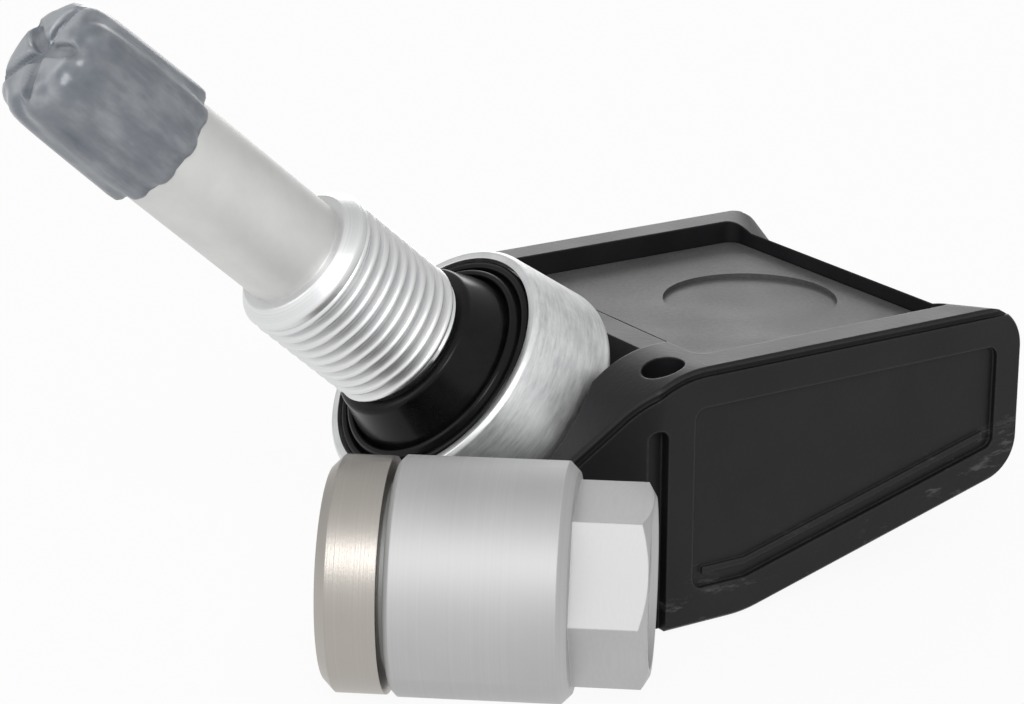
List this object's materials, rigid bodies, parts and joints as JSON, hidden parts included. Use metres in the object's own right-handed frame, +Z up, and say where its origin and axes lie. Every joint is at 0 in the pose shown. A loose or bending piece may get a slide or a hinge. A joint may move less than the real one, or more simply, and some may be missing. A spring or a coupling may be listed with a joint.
{
  "type": "tyre pressure sensor",
  "caption": "Wheel-mounted tyre pressure sensor: a tapered black housing with a clamp-in metal valve at an angle, a fluted cap, a rim grommet, and its fastening nut lying beside it.",
  "frame": {"origin": "middle of the housing's flat foot, on the floor", "axes": "+X along the housing from its rear end to the valve, +Z up from the foot, +Y toward the side where the nut lies"},
  "size_m": [0.0669, 0.0423, 0.0423],
  "materials": {
    "housing_plastic": "satin moulded",
    "cover_plastic": "matt",
    "stem_metal": "brushed",
    "nut_metal": "satin turned",
    "washer_steel": "turned",
    "screw_steel": "plated",
    "black_rubber": "gloss",
    "cap_plastic": "satin",
    "core_brass": "machined",
    "cell_steel": "plain",
    "board_laminate": "coated",
    "chip_resin": "matt",
    "filter_felt": "matt"
  },
  "bodies": {
    "sensor": {"sensor_housing": "housing_plastic", "top_cover": "cover_plastic", "circuit_board": "board_laminate", "coin_cell": "cell_steel", "cell_tab_lower": "cell_steel", "cell_tab_upper": "cell_steel", "sensor_chip": "chip_resin", "quartz_crystal": "cell_steel", "wake_coil": "chip_resin", "radio_strip": "cell_steel", "port_filter": "filter_felt", "valve_stem": "stem_metal", "valve_screw": "screw_steel", "rim_grommet": "black_rubber", "core_barrel": "core_brass", "core_ring": "black_rubber", "core_spring": "screw_steel", "nut_body": "nut_metal"},
    "cap_ring": {"cap_seal": "black_rubber"},
    "cap": {"valve_cap": "cap_plastic"},
    "pin": {"core_pin": "core_brass", "core_washer": "black_rubber"},
    "washer": {"nut_washer": "washer_steel"}
  },
  "joints": [
    {"name": "cap_lift", "type": "slide", "parent": "sensor", "child": "cap_ring", "axis": [0.7414, 0, 0.6711], "range_m": [0, 0.00476]},
    {"name": "cap_turn", "type": "hinge", "parent": "cap_ring", "child": "cap", "pos_m": [0.0005, 0, 0.0094], "axis": [0.7414, 0, 0.6711], "range_deg": [0, 2160]},
    {"name": "core_press", "type": "slide", "parent": "sensor", "child": "pin", "axis": [-0.7414, 0, -0.6711], "range_m": [0, 0.001], "stiffness_N_per_m": 900, "deforming": ["core_spring"]},
    {"name": "washer_spin", "type": "hinge", "parent": "sensor", "child": "washer", "pos_m": [0.02096, 0.01037, 0.00744], "axis": [-0.7826, 0.6225, 0], "continuous": true}
  ],
  "couplings": [
    {"joint": "cap_turn", "follows": "cap_lift", "rad_per_m": 7913.3}
  ]
}
